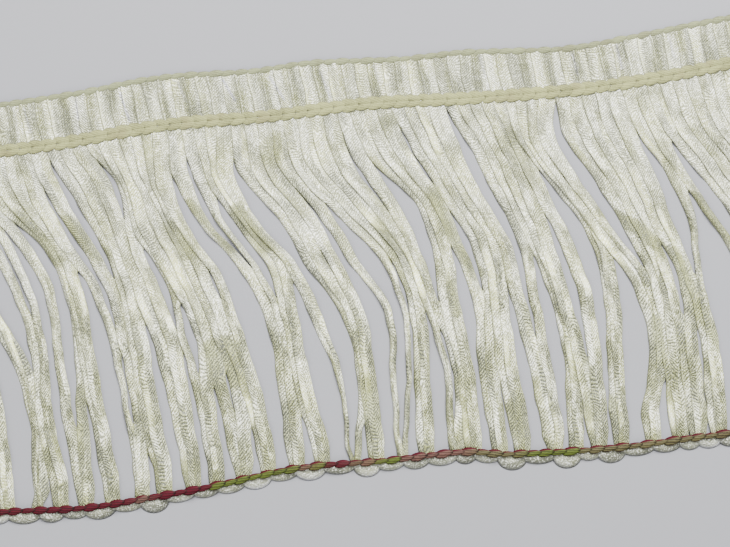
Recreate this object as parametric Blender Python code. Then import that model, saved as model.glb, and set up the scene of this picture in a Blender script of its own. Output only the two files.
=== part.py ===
"""Chainette fringe trim: one flat knitted ribbon laid back and forth and sewn across three times.

The trim lies on a surface with its front up. X runs along it, and Y points from the held feet up to
the top edge. Lengths are in millimetres until a mesh is made, and MM turns them into metres.
"""

from math import cos, pi, sin
from typing import NamedTuple

import bmesh
import bpy

MM = 0.001
COLLECTION_NAME = "chainette_fringe_trim"

# Middle of the finished trim in the drawing's own millimetres, which becomes the world origin
CENTRE_X = -0.187
CENTRE_Y = 0.205

# Ribbon strands: two layers, so that a foot's right run lies over its left run
STRAND_THICKNESS = 0.70
LAYER_STEP = 1.05
ROOT_LIFT = 0.15
SAME_LAYER_GAP = 0.35
LEAST_SAME_LAYER_PITCH = 1.75
LEAST_WIDTH = 1.0
FOOT_WIDTH = 2.3
TURN_WIDTH = 2.0
TURN_WIDTH_SHARE = 1.2
TURN_SECTIONS = 5
DOWNWARD = (1.0, 0.0)
UPWARD = (-1.0, 0.0)

# Heights, in Y, of the strand sections below the band; the first one is inside the band
SECTION_HEIGHTS = (41.0, 35.0, 28.0, 22.0, 16.0, 9.0, 2.0, -6.0, -15.0, -24.0, -34.0, -43.0)
ROOT_HEIGHT = 40.0
ROOT_SHIFT = -2.6

# Band: the pleated head of the ribbon, between the heading and the top edge
BAND_THICKNESS = 2.10
BAND_PLEAT_RISE = 0.40
BAND_PLEAT_STEP = 0.30
BAND_BELOW_HEADING = 2.3
BAND_BELOW_EDGE = 0.95
BAND_FLAT_ABOVE_HEADING = 1.9
PLEAT_LEAN = -1.2
BAND_END = 1.9

# Yarn pieces
PIECE_GAP = 0.30
STITCH_PITCH = 3.1
HEADING_WIDTH = 3.0
HEADING_RISE = 1.15
HEADING_DIP = 0.30
EDGE_WIDTH = 1.3
EDGE_RISE = 1.9
HOLDING_WIDTH = 1.4
HOLDING_RISE = 0.95
STITCH_WAIST = 0.72
STITCH_SHOULDER = 0.6

# Each curve along the trim: X, then Y of the stitched line there
EDGE_LINE = (
    (-125, 51.6), (-85, 51.5), (-65, 52.2), (-45, 53.7), (-22, 52.7), (-8, 53.1), (15, 51.5),
    (30, 51.4), (55, 49.5), (70, 50.3), (90, 52.0), (112, 53.6),
)
HEADING_LINE = (
    (-125, 40.4), (-75, 40.3), (-45, 42.0), (-20, 41.3), (5, 41.6), (30, 40.1), (57, 39.2),
    (80, 40.0), (97, 41.6), (112, 42.6),
)
HOLDING_LINE = (
    (-110, -47.8), (-92, -48.5), (-75, -49.6), (-57, -48.8), (-45, -48.0), (-22, -45.8),
    (0, -46.4), (20, -46.5), (30, -48.2), (55, -49.6), (85, -49.3), (125, -49.8),
)

# Heights, in Y, at which the table of runs gives each run's middle and its seen width
MIDDLE_HEIGHTS = (28, 16, 4, -10, -26, -42)
WIDTH_HEIGHTS = (16, -6, -30)

# A row for each run, left to right, two to a foot: six middles, then three widths
RUN_TABLE = (
    (-109.6, -105.0, -100.0, -96.6, -95.0, -94.8, 3.4, 3.2, 3.0),
    (-106.4, -102.0, -97.2, -95.2, -93.7, -93.6, 3.4, 3.0, 2.8),
    (-103.0, -100.0, -95.8, -88.8, -85.9, -86.8, 3.4, 2.2, 1.4),
    (-99.8, -97.4, -93.2, -88.0, -85.2, -86.2, 3.4, 1.8, 1.2),
    (-96.0, -90.2, -85.6, -83.3, -83.2, -82.0, 3.0, 2.2, 2.6),
    (-92.9, -86.8, -82.8, -81.2, -81.8, -80.0, 2.6, 2.0, 2.6),
    (-90.2, -82.7, -78.0, -77.5, -77.0, -75.8, 3.2, 2.4, 3.0),
    (-87.6, -77.6, -73.6, -72.8, -73.4, -73.9, 2.6, 1.4, 3.0),
    (-84.6, -76.2, -72.0, -71.0, -70.0, -68.9, 3.2, 3.4, 3.2),
    (-81.2, -74.6, -71.0, -70.0, -69.0, -67.6, 3.0, 2.6, 2.8),
    (-78.0, -73.0, -66.8, -63.7, -62.4, -61.6, 3.2, 2.2, 1.4),
    (-73.8, -68.2, -62.9, -60.8, -59.6, -60.2, 3.6, 3.2, 3.0),
    (-68.2, -63.4, -59.8, -58.4, -57.8, -56.0, 2.6, 3.0, 3.0),
    (-64.8, -61.0, -58.0, -56.8, -56.0, -54.6, 3.4, 3.4, 3.4),
    (-61.4, -58.7, -56.0, -52.6, -50.2, -48.8, 3.2, 3.4, 3.4),
    (-56.2, -56.0, -52.9, -49.3, -48.0, -47.3, 2.8, 3.4, 3.2),
    (-55.2, -53.8, -48.4, -46.5, -44.0, -42.8, 2.8, 1.8, 2.8),
    (-54.0, -52.0, -46.8, -41.9, -42.0, -41.4, 3.6, 3.6, 3.0),
    (-51.6, -48.8, -44.2, -40.2, -38.2, -36.6, 3.2, 3.4, 3.2),
    (-49.6, -45.4, -41.6, -37.4, -34.4, -34.2, 3.4, 3.4, 3.4),
    (-48.0, -44.4, -39.6, -35.8, -31.8, -29.9, 3.0, 2.8, 3.0),
    (-46.6, -43.2, -36.6, -33.2, -30.2, -28.6, 2.6, 2.6, 3.2),
    (-42.2, -37.4, -28.9, -23.8, -23.0, -22.9, 2.6, 3.4, 3.0),
    (-37.4, -33.6, -26.4, -21.9, -21.2, -21.2, 2.0, 1.8, 3.0),
    (-34.4, -29.2, -22.4, -20.0, -18.8, -16.4, 2.8, 3.0, 3.0),
    (-32.6, -27.4, -20.2, -18.8, -17.6, -15.0, 3.0, 2.6, 3.2),
    (-31.2, -26.2, -17.9, -13.0, -9.0, -9.0, 2.6, 3.2, 1.2),
    (-26.2, -18.4, -13.2, -5.6, -3.9, -6.4, 2.8, 2.6, 1.8),
    (-22.6, -15.6, -10.8, -4.2, -2.8, -3.0, 3.2, 3.0, 2.8),
    (-19.4, -12.4, -7.4, -2.5, -1.7, -1.6, 3.4, 3.0, 3.0),
    (-15.8, -8.4, -2.7, 4.6, 4.1, 3.4, 3.4, 2.2, 1.5),
    (-12.4, -4.4, 4.6, 8.6, 7.9, 5.2, 3.4, 1.6, 1.4),
    (-9.0, -1.2, 7.2, 10.6, 10.4, 9.2, 3.4, 1.6, 2.6),
    (-5.6, 1.8, 9.2, 12.0, 11.9, 11.2, 3.4, 1.6, 2.6),
    (-2.2, 4.8, 11.2, 14.4, 17.4, 16.4, 3.4, 1.8, 1.8),
    (2.4, 8.6, 13.0, 16.4, 19.8, 18.6, 3.4, 2.0, 2.0),
    (6.4, 15.8, 18.6, 18.9, 21.3, 21.0, 3.4, 2.8, 2.8),
    (9.6, 17.2, 20.4, 21.2, 22.6, 22.7, 3.2, 2.6, 2.8),
    (12.9, 19.6, 23.6, 27.1, 26.6, 27.4, 3.2, 2.8, 3.0),
    (17.6, 22.9, 28.2, 29.8, 28.4, 29.0, 3.4, 2.8, 2.8),
    (20.2, 25.2, 30.2, 31.2, 31.2, 32.8, 3.2, 2.4, 3.0),
    (22.6, 27.4, 32.4, 33.3, 33.3, 34.6, 3.2, 2.2, 3.2),
    (24.9, 29.4, 34.8, 36.8, 39.2, 40.6, 3.2, 3.4, 3.4),
    (31.2, 35.3, 39.6, 40.8, 42.0, 43.2, 3.2, 2.6, 2.4),
    (34.0, 37.8, 41.6, 45.4, 47.4, 46.4, 3.0, 1.8, 2.0),
    (36.3, 39.9, 43.3, 46.6, 48.4, 47.9, 3.2, 2.4, 2.2),
    (38.6, 42.2, 45.2, 47.7, 50.4, 51.6, 3.4, 3.4, 3.2),
    (41.4, 45.1, 49.6, 53.2, 54.0, 53.8, 3.4, 3.4, 3.4),
    (43.4, 50.0, 56.4, 58.6, 58.4, 57.4, 3.0, 1.4, 2.6),
    (44.8, 51.2, 57.6, 59.4, 59.6, 59.2, 3.0, 1.4, 2.6),
    (46.4, 52.2, 58.6, 66.6, 69.2, 65.4, 3.4, 3.0, 3.0),
    (48.6, 54.4, 61.0, 69.0, 70.8, 67.0, 3.0, 2.0, 2.6),
    (54.8, 61.0, 66.0, 70.8, 72.2, 72.0, 3.6, 2.2, 3.0),
    (58.4, 64.0, 68.6, 72.8, 73.6, 73.6, 3.4, 2.0, 3.2),
    (61.8, 67.0, 71.0, 74.0, 76.4, 76.4, 3.6, 2.0, 3.2),
    (65.2, 70.0, 73.2, 78.2, 78.3, 78.2, 3.6, 2.8, 3.2),
    (68.2, 72.4, 75.6, 79.6, 82.0, 81.6, 3.4, 2.6, 3.2),
    (72.4, 78.3, 81.7, 81.9, 83.4, 83.4, 3.2, 1.6, 3.2),
    (75.6, 80.4, 86.8, 93.0, 91.2, 88.0, 2.6, 2.2, 3.0),
    (78.8, 85.9, 93.0, 96.6, 93.6, 89.8, 3.6, 3.0, 3.2),
)

# Plain runs past both ends of the table: how many, their pitch, their sway and how a foot closes up
PLAIN_LEFT = 2
PLAIN_RIGHT = 8
PLAIN_PITCH = 3.2
PLAIN_SWAY_LEFT = (0, 4.6, 9.6, 13.0, 14.6, 14.5)
PLAIN_SWAY_RIGHT = (0, 6.5, 13.0, 16.0, 14.0, 12.0)
PLAIN_CLOSING = (0, 0, 0, 0.3, 0.6, 0.8)
PLAIN_WIDTHS = (3.4, 3.0, 3.0)

# How far each turn hangs below the holding stitch, from the table's first foot to its last
TURN_DEPTHS = (
    3.4, 3.4, 2.5, 3.6, 2.6, 4.4, 2.5, 2.5, 2.8, 3.3, 2.6, 3.8, 2.5, 4.0, 2.4, 2.9, 2.7, 3.1, 2.5,
    4.6, 2.9, 4.7, 2.5, 4.0, 2.5, 2.7, 3.1, 3.3, 3.6,
)
PLAIN_TURN_DEPTH = 3.0


class Run(NamedTuple):
    """One pass of the ribbon between the heading and the holding stitch."""

    middles: tuple
    widths: tuple
    layer: int


class Finish(NamedTuple):
    """The plain colour that stands for a material until the scene script dresses it."""

    name: str
    colour: tuple
    roughness: float


RIBBON_FINISH = Finish("ribbon", (0.80, 0.80, 0.70), 0.45)
HEADING_FINISH = Finish("heading_yarn", (0.74, 0.72, 0.50), 0.75)
EDGE_FINISH = Finish("edge_yarn", (0.62, 0.63, 0.47), 0.75)
HOLDING_FINISH = Finish("holding_thread", (0.45, 0.20, 0.14), 0.70)


def smooth_value(points, at):
    """Read a smooth curve through (position, value) points given in rising order of position."""
    if at <= points[0][0]:
        return points[0][1]
    if at >= points[-1][0]:
        return points[-1][1]
    index = next(i for i in range(len(points) - 1) if at <= points[i + 1][0])
    (start, low), (end, high) = points[index], points[index + 1]
    before = points[max(index - 1, 0)]
    after = points[min(index + 2, len(points) - 1)]
    slope_in = (high - before[1]) / (end - before[0])
    slope_out = (after[1] - low) / (after[0] - start)
    span = end - start
    t = (at - start) / span
    return (
        low * (1 + 2 * t) * (1 - t) ** 2
        + slope_in * span * t * (1 - t) ** 2
        + high * t ** 2 * (3 - 2 * t)
        - slope_out * span * t ** 2 * (1 - t)
    )


def all_runs():
    """Return every run from left to right, the plain ones past the table's ends included."""
    rows = []
    first, last = RUN_TABLE[0], RUN_TABLE[-1]
    for step in range(PLAIN_LEFT, 0, -1):
        rows.append(plain_row(first[0] - step * PLAIN_PITCH, PLAIN_SWAY_LEFT, step % 2 == 0))
    rows.extend(RUN_TABLE)
    for step in range(1, PLAIN_RIGHT + 1):
        rows.append(plain_row(last[0] + step * PLAIN_PITCH, PLAIN_SWAY_RIGHT, step % 2 == 1))
    count = len(MIDDLE_HEIGHTS)
    runs = []
    for number, row in enumerate(rows):
        middles = list(row[:count])
        if number >= 2:
            under = runs[number - 2].middles
            middles = [max(x, held + LEAST_SAME_LAYER_PITCH) for x, held in zip(middles, under)]
        runs.append(Run(tuple(middles), tuple(row[count:]), number % 2))
    return runs


def plain_row(start, sway, is_left):
    """Return a table row for a run that follows the common sway from its middle at the top."""
    side = 1 if is_left else -1
    middles = tuple(start + shift + side * close for shift, close in zip(sway, PLAIN_CLOSING))
    return middles + PLAIN_WIDTHS


def run_middle(run, height):
    """Return X of a run's middle at a height, from its root to its foot."""
    points = [(-h, x) for h, x in zip(MIDDLE_HEIGHTS, run.middles)]
    root = (-ROOT_HEIGHT, run.middles[0] + ROOT_SHIFT)
    return smooth_value([root] + points, -height)


def run_width(runs, number, height):
    """Return a run's width at a height, narrowed where a run of its own layer comes close."""
    run = runs[number]
    points = [(-h, w) for h, w in zip(WIDTH_HEIGHTS, run.widths)]
    width = smooth_value([(-ROOT_HEIGHT, run.widths[0])] + points, -height)
    middle = run_middle(run, height)
    for other in (number - 2, number + 2):
        if 0 <= other < len(runs):
            room = abs(run_middle(runs[other], height) - middle) - SAME_LAYER_GAP
            width = min(width, room)
    return max(width, LEAST_WIDTH)


def layer_base(run):
    """Return the height of a run's lower face where it lies on the surface or on other runs."""
    return run.layer * LAYER_STEP


def flat_section(x, y, base, width, across):
    """Return the four corners of a level ribbon section centred at x, y, its right side along across."""
    half = width / 2
    left = (x - across[0] * half, y - across[1] * half)
    right = (x + across[0] * half, y + across[1] * half)
    top = base + STRAND_THICKNESS
    return [(*left, base), (*right, base), (*right, top), (*left, top)]


def leg_sections(runs, number, across):
    """Return a run's sections from inside the band down to the holding stitch."""
    run = runs[number]
    sections = []
    for height in SECTION_HEIGHTS:
        base = layer_base(run)
        if height > ROOT_HEIGHT:
            base += ROOT_LIFT
        x = run_middle(run, height)
        width = run_width(runs, number, height)
        sections.append(flat_section(x, height, base, width, across))
    foot_x = run.middles[-1]
    foot_y = smooth_value(HOLDING_LINE, foot_x)
    width = min(FOOT_WIDTH, run_width(runs, number, foot_y))
    sections.append(flat_section(foot_x, foot_y, layer_base(run), width, across))
    return sections


def turn_sections(left_run, right_run, depth):
    """Return the sections of the half-round turn from one foot's right run to the next foot."""
    start, end = left_run.middles[-1], right_run.middles[-1]
    start_y, end_y = smooth_value(HOLDING_LINE, start), smooth_value(HOLDING_LINE, end)
    reach = (end - start) / 2
    width = min(TURN_WIDTH, reach * TURN_WIDTH_SHARE)
    drop = depth - width / 2
    first, last = layer_base(left_run), layer_base(right_run)
    sections = []
    for step in range(1, TURN_SECTIONS + 1):
        angle = pi * step / (TURN_SECTIONS + 1)
        along = (1 - cos(angle)) / 2
        x = start + (end - start) * along
        y = start_y + (end_y - start_y) * along - drop * sin(angle)
        fall = (1 - cos(pi * (step - 1) / (TURN_SECTIONS - 1))) / 2
        base = first + (last - first) * fall
        sections.append(flat_section(x, y, base, width, (cos(angle), sin(angle))))
    return sections


def strand_loops(runs):
    """Return each joined length of ribbon below the band as its list of sections."""
    depths = [PLAIN_TURN_DEPTH] + list(TURN_DEPTHS) + [PLAIN_TURN_DEPTH] * (PLAIN_RIGHT // 2)
    loops = [leg_sections(runs, 0, DOWNWARD)]
    for turn, number in enumerate(range(1, len(runs) - 1, 2)):
        down = leg_sections(runs, number, DOWNWARD)
        around = turn_sections(runs[number], runs[number + 1], depths[turn])
        up = leg_sections(runs, number + 1, UPWARD)
        loops.append(down + around + up[::-1])
    loops.append(leg_sections(runs, len(runs) - 1, DOWNWARD))
    return loops


def band_profile(x, pleat):
    """Return the band's outline across the trim at X, with its pleats raised by pleat."""
    low = smooth_value(HEADING_LINE, x) - BAND_BELOW_HEADING
    high = smooth_value(EDGE_LINE, x) - BAND_BELOW_EDGE
    shelf = low + BAND_BELOW_HEADING + BAND_FLAT_ABOVE_HEADING
    lean = x + PLEAT_LEAN
    return [
        (x, low, 0.0),
        (lean, high, 0.0),
        (lean, high, BAND_THICKNESS + pleat),
        (x, shelf, BAND_THICKNESS + pleat),
        (x, shelf - PIECE_GAP, BAND_THICKNESS),
        (x, low, BAND_THICKNESS),
    ]


def band_sections(runs):
    """Return the band's sections: a low and a high one where each pleat laps its neighbour."""
    roots = [run_middle(run, ROOT_HEIGHT) for run in runs]
    sections = [band_profile(roots[0] - BAND_END, BAND_PLEAT_RISE)]
    for root in roots[1:]:
        lap = root - STITCH_PITCH / 2
        sections.append(band_profile(lap, 0.0))
        sections.append(band_profile(lap + BAND_PLEAT_STEP, BAND_PLEAT_RISE))
    sections.append(band_profile(roots[-1] + BAND_END, 0.0))
    return sections


def stitch_sections(start, end, line, profile):
    """Return a full and a waisted section for each stitch along a line from start to end."""
    count = round((end - start) / STITCH_PITCH)
    pitch = (end - start) / count
    sections = []
    for stitch in range(count):
        for part, full in ((0.0, False), (0.5, True)):
            x = start + (stitch + part) * pitch
            sections.append(profile(x, smooth_value(line, x), full))
    sections.append(profile(end, smooth_value(line, end), False))
    return sections


def heading_profile(x, y, full):
    """Return the heading's section: a flat back and two rows of chain stitch."""
    base = BAND_THICKNESS + PIECE_GAP
    half = HEADING_WIDTH / 2
    rise = HEADING_RISE * (1.0 if full else STITCH_WAIST)
    row = half / 2
    return [
        (x, y - half, base),
        (x, y + half, base),
        (x, y + half, base + rise * STITCH_SHOULDER),
        (x, y + row, base + rise),
        (x, y, base + rise - HEADING_DIP),
        (x, y - row, base + rise),
        (x, y - half, base + rise * STITCH_SHOULDER),
    ]


def edge_profile(x, y, full):
    """Return the section of the thin chain that lies along the top edge."""
    grow = 1.0 if full else STITCH_WAIST
    inner = y - EDGE_WIDTH / 2
    outer = inner + EDGE_WIDTH * grow
    rise = EDGE_RISE * grow
    middle = (inner + outer) / 2
    return [
        (x, inner, 0.0),
        (x, outer, 0.0),
        (x, outer, rise * STITCH_SHOULDER),
        (x, middle, rise),
        (x, inner, rise * STITCH_SHOULDER),
    ]


def holding_profile(x, y, full):
    """Return the section of the holding stitch, a thin chain drawn straight across the feet."""
    grow = 1.0 if full else STITCH_WAIST
    base = LAYER_STEP + STRAND_THICKNESS + PIECE_GAP
    half = HOLDING_WIDTH / 2 * grow
    rise = HOLDING_RISE * grow
    return [
        (x, y - half, base),
        (x, y + half, base),
        (x, y + half, base + rise * STITCH_SHOULDER),
        (x, y, base + rise),
        (x, y - half, base + rise * STITCH_SHOULDER),
    ]


def loft(mesh_maker, sections):
    """Skin a list of like sections into a closed body, with a cap at each end."""
    rings = []
    for section in sections:
        corners = [((x - CENTRE_X) * MM, (y - CENTRE_Y) * MM, z * MM) for x, y, z in section]
        rings.append([mesh_maker.verts.new(corner) for corner in corners])
    for ring, following in zip(rings, rings[1:]):
        for index in range(len(ring)):
            after = (index + 1) % len(ring)
            mesh_maker.faces.new((ring[index], ring[after], following[after], following[index]))
    mesh_maker.faces.new(rings[0][::-1])
    mesh_maker.faces.new(rings[-1])


def lofted_object(name, bodies, finish, collection):
    """Make one object from lofted bodies that stand clear of each other."""
    mesh_maker = bmesh.new()
    for sections in bodies:
        loft(mesh_maker, sections)
    bmesh.ops.triangulate(mesh_maker, faces=mesh_maker.faces[:])
    bmesh.ops.recalc_face_normals(mesh_maker, faces=mesh_maker.faces[:])
    mesh = bpy.data.meshes.new(name)
    mesh_maker.to_mesh(mesh)
    mesh_maker.free()
    piece = bpy.data.objects.new(name, mesh)
    collection.objects.link(piece)
    mesh.materials.append(plain_material(finish))
    return piece


def plain_material(finish):
    """Return the plain material for a finish, made once."""
    material = bpy.data.materials.get(finish.name)
    if material is None:
        material = bpy.data.materials.new(finish.name)
        material.use_nodes = True
        shader = material.node_tree.nodes["Principled BSDF"]
        shader.inputs["Base Color"].default_value = (*finish.colour, 1.0)
        shader.inputs["Roughness"].default_value = finish.roughness
        shader.inputs["Metallic"].default_value = 0.0
    return material


def make_ribbon_fringe(runs, collection, helpers):
    """Fuse every strand's root into the pleated band, as one body."""
    fringe = lofted_object("ribbon_fringe", [band_sections(runs)], RIBBON_FINISH, collection)
    strands = lofted_object("strands", strand_loops(runs), RIBBON_FINISH, helpers)
    strands.hide_render = True
    strands.hide_viewport = True
    union = fringe.modifiers.new("Strand roots", "BOOLEAN")
    union.operation = "UNION"
    union.solver = "EXACT"
    union.object = strands
    return fringe


def make_heading_chain(runs, collection):
    """Lay the two rows of heading stitch on the band's front."""
    start = run_middle(runs[0], ROOT_HEIGHT) - BAND_END
    end = run_middle(runs[-1], ROOT_HEIGHT) + BAND_END
    sections = stitch_sections(start, end, HEADING_LINE, heading_profile)
    return lofted_object("heading_chain", [sections], HEADING_FINISH, collection)


def make_edge_chain(runs, collection):
    """Lay the thin chain along the band's top edge."""
    start = run_middle(runs[0], ROOT_HEIGHT) - BAND_END + PLEAT_LEAN
    end = run_middle(runs[-1], ROOT_HEIGHT) + BAND_END + PLEAT_LEAN
    sections = stitch_sections(start, end, EDGE_LINE, edge_profile)
    return lofted_object("edge_chain", [sections], EDGE_FINISH, collection)


def make_holding_chain(runs, collection):
    """Lay the holding stitch across the feet."""
    start = runs[0].middles[-1] - FOOT_WIDTH
    end = runs[-1].middles[-1] + FOOT_WIDTH
    sections = stitch_sections(start, end, HOLDING_LINE, holding_profile)
    return lofted_object("holding_chain", [sections], HOLDING_FINISH, collection)


def new_collection(name):
    """Return a new collection linked to the scene."""
    collection = bpy.data.collections.new(name)
    bpy.context.scene.collection.children.link(collection)
    return collection


def main():
    """Clear the scene and build the trim."""
    for item in list(bpy.data.objects):
        bpy.data.objects.remove(item, do_unlink=True)
    collection = new_collection(COLLECTION_NAME)
    helpers = new_collection("helpers")
    runs = all_runs()
    make_ribbon_fringe(runs, collection, helpers)
    make_heading_chain(runs, collection)
    make_edge_chain(runs, collection)
    make_holding_chain(runs, collection)


main()
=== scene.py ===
"""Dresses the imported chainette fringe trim: its knitted ribbon, its three stitched chains and the stage.

The drawing's millimetres are those of the part: X runs along the trim, Y points from the held feet
up to the top edge and Z up out of its front. Points are turned into metres when a mesh is made.
"""

from math import cos, pi, radians, sin
from typing import NamedTuple

import bmesh
import bpy
import numpy as np
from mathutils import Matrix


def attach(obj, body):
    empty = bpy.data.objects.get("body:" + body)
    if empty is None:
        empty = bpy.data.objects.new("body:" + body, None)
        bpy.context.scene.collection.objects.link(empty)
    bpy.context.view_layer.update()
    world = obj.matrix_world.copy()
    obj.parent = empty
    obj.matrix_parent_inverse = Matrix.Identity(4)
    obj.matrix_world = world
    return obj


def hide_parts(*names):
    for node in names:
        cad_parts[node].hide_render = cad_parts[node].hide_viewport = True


bl_info = {
    "name": "Chainette fringe trim",
    "version": (1, 0, 0),
    "blender": (4, 5, 0),
    "location": "3D View > Sidebar > Trim",
    "description": "Lays a knitted ribbon fringe and sews its heading, edge and foot chains",
    "category": "Add Mesh",
}

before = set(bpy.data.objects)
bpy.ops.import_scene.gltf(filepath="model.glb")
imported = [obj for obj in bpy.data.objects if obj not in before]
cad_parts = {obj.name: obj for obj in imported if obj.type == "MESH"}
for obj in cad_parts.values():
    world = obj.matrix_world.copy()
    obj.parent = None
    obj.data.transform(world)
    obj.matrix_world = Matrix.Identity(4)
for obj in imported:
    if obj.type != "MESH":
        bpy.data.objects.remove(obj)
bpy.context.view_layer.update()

MM = 0.001

# Middle of the part in the drawing's millimetres, which is the world origin
CENTRE_X = -0.187
CENTRE_Y = 0.205

# Where runs lie: the same lines and table as the part's own
ROOT_HEIGHT = 40.0
ROOT_SHIFT = -2.6
EDGE_LINE = (
    (-125, 51.6), (-85, 51.5), (-65, 52.2), (-45, 53.7), (-22, 52.7), (-8, 53.1), (15, 51.5),
    (30, 51.4), (55, 49.5), (70, 50.3), (90, 52.0), (112, 53.6),
)
HEADING_LINE = (
    (-125, 40.4), (-75, 40.3), (-45, 42.0), (-20, 41.3), (5, 41.6), (30, 40.1), (57, 39.2),
    (80, 40.0), (97, 41.6), (112, 42.6),
)
HOLDING_LINE = (
    (-110, -47.8), (-92, -48.5), (-75, -49.6), (-57, -48.8), (-45, -48.0), (-22, -45.8),
    (0, -46.4), (20, -46.5), (30, -48.2), (55, -49.6), (85, -49.3), (125, -49.8),
)
MIDDLE_HEIGHTS = (28, 16, 4, -10, -26, -42)
WIDTH_HEIGHTS = (16, -6, -30)

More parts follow.
